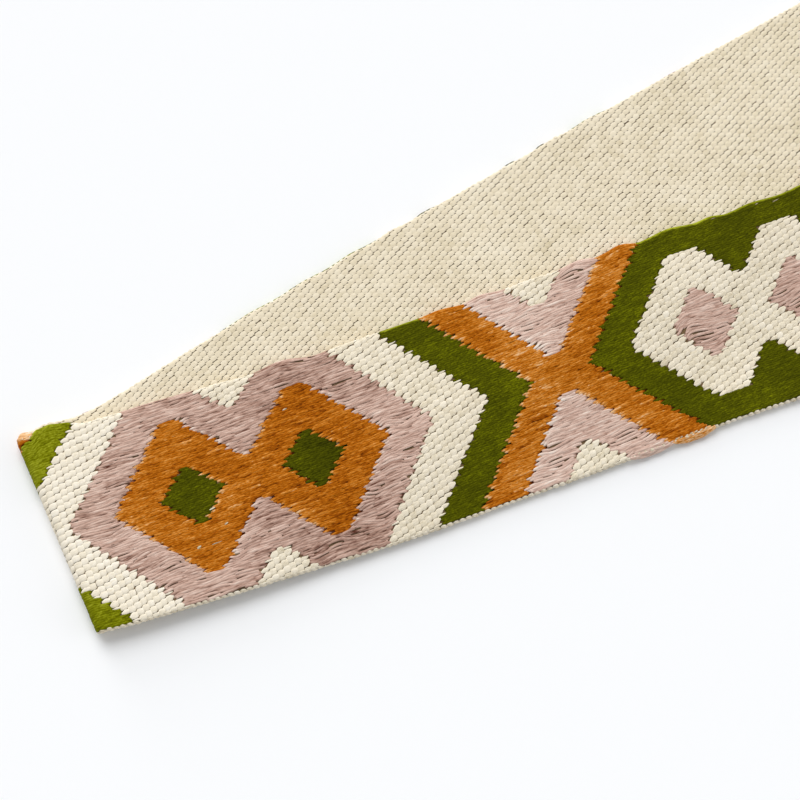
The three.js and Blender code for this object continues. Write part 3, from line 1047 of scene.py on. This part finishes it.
def bundle_piece(name, side, start, stop, swell, strands, thick, tone, material, slot):
    """Strands side by side that leave the edge at one place and come back to it at another."""
    start, stop, swell, thick = (size * MM for size in (start, stop, swell, thick))
    run = np.linspace(0, 1, BUNDLE_STEPS + 1)[:, None, None]
    share = np.linspace(0, 1, strands)[None, :, None]
    round_turn = np.arange(STRAND_SIDES)[None, None, :] / STRAND_SIDES * 2 * math.pi
    arch = np.sin(math.pi * run) ** ARCH_POWER
    ripple = RIPPLE * np.sin(run * RIPPLE_ALONG + share * RIPPLE_ACROSS)
    across = BUNDLE_ROOT + share * (BUNDLE_WIDE + swell * arch) + thick * np.cos(round_turn)
    out = BUNDLE_HEIGHT - BUNDLE_SAG * share**2 * arch + thick * np.sin(round_turn)
    out = np.minimum(out, BUNDLE_TOP) + ripple
    along = start + (stop - start) * (run + STRAND_SHIFT[0] * np.sin(share * STRAND_SHIFT[1]))
    points = stacked(along, side * (across + ripple), out)
    row, strand, corner = np.meshgrid(
        np.arange(BUNDLE_STEPS), np.arange(strands), np.arange(STRAND_SIDES), indexing="ij"
    )
    first = (row * strands + strand) * STRAND_SIDES
    here, after = first + corner, first + (corner + 1) % STRAND_SIDES
    step = strands * STRAND_SIDES
    faces = np.stack([here, after, after + step, here + step], axis=-1).reshape(-1, 4)
    tones = tone + STRAND_TONE[0] * np.sin(share * STRAND_TONE[1])
    tones = np.broadcast_to(tones, points.shape[:3]).ravel()
    yarn_piece(name, points, faces[:, ::int(side)], material, tones)


for row in BUNDLES_MM:
    bundle_piece(*row)
# Cream stitches that show through the colours: places along and across, half lengths and half widths,
# in mm.
STITCHES_MM = [
    (34.2, -12.4, 1.2, 0.16), (29.9, -12.3, 0.6, 0.34), (37.7, -8.6, 0.45, 0.2),
    (35.6, -4.3, 0.8, 0.2), (58.9, 13.7, 0.6, 0.18), (173.2, 24.1, 0.7, 0.12),
    (184.9, 24.1, 0.4, 0.12), (189.4, 23.6, 0.8, 0.12), (196.9, 23.9, 0.7, 0.14),
    (202, 24, 0.5, 0.14),
]
# The rows of stitches inside the bundles: how many, the first one's place along and the step to the
# next, and then their place across, half length and half width, in mm.
STITCH_ROWS_MM = [(7, 144.2, 1.28, -24.35, 0.4, 0.2), (5, 134.2, 1.6, -24.4, 0.35, 0.15)]
# From where to where they stand up, as shares of half the thickness of the cloth.
STITCH_LOW = 0.85
STITCH_HIGH = 1.08
# A stitch is cut like a pillow that ends in a tooth at both ends, and lifted half as much there.
STITCH_OPEN = (0.5, 0.5)
bundle_stitches = [
    (first + step * number, *rest)
    for count, first, step, *rest in STITCH_ROWS_MM
    for number in range(count)
]
for name, stitches, shade in (
    ("stray_stitches", STITCHES_MM, -4),
    ("bundle_stitches", bundle_stitches, -2),
):
    rows = np.array([(*(size * MM for size in stitch), *STITCH_OPEN) for stitch in stitches])
    white_piece(name, rows, FINE_GRID, face_cotton, STITCH_LOW, STITCH_HIGH, shade)

# THE TABLE AND THE LIGHT
# A plain matt white table in a white room. The light comes from three windows: a high one beyond the
# far edge, a low one there that draws the soft shadow on the near side, and a weak one at the right.
FLOOR_SIZE = 40.0
FLOOR_WHITE = "#fbfcfd"
ROOM_WHITE = "#fcfdff"
ROOM_STRENGTH = 0.43
# Each window: its name, the direction that its light comes from, its strength and its width in degrees.
WINDOWS = [
    ("high window", (0.3, 0.95, 1.2), 1.95, 45),
    ("low window", (0.1, 1, 0.24), 1.05, 30),
    ("side window", (0.85, -0.53, 0.22), 0.45, 40),
]


def add_floor():
    """The plain table top, level with the underside of the cloth."""
    mesh = bpy.data.meshes.new("floor")
    half = FLOOR_SIZE / 2
    mesh.from_pydata(
        [(-half, -half, 0), (half, -half, 0), (half, half, 0), (-half, half, 0)], [], [(0, 1, 2, 3)]
    )
    material, _ = new_material(
        "matt white table top",
        **{"Base Color": linear(FLOOR_WHITE), "Roughness": 0.9, "Specular IOR Level": 0.0},
    )
    mesh.materials.append(material)
    add_object("floor", mesh)


def add_light(name, comes_from, power, width_deg):
    """A broad light, even over the whole table."""
    light = bpy.data.lights.new(name, "SUN")
    light.energy = power
    light.angle = math.radians(width_deg)
    lamp = add_object(name, light)
    lamp.rotation_mode = "QUATERNION"
    lamp.rotation_quaternion = (-Vector(comes_from)).to_track_quat("-Z", "Y")


add_floor()
for window in WINDOWS:
    add_light(*window)
world = bpy.data.worlds.new("white room")
world.use_nodes = True
room = world.node_tree.nodes["Background"]
room.inputs["Color"].default_value = linear(ROOM_WHITE)
room.inputs["Strength"].default_value = ROOM_STRENGTH
bpy.context.scene.world = world
bpy.context.scene.view_settings.view_transform = "Standard"
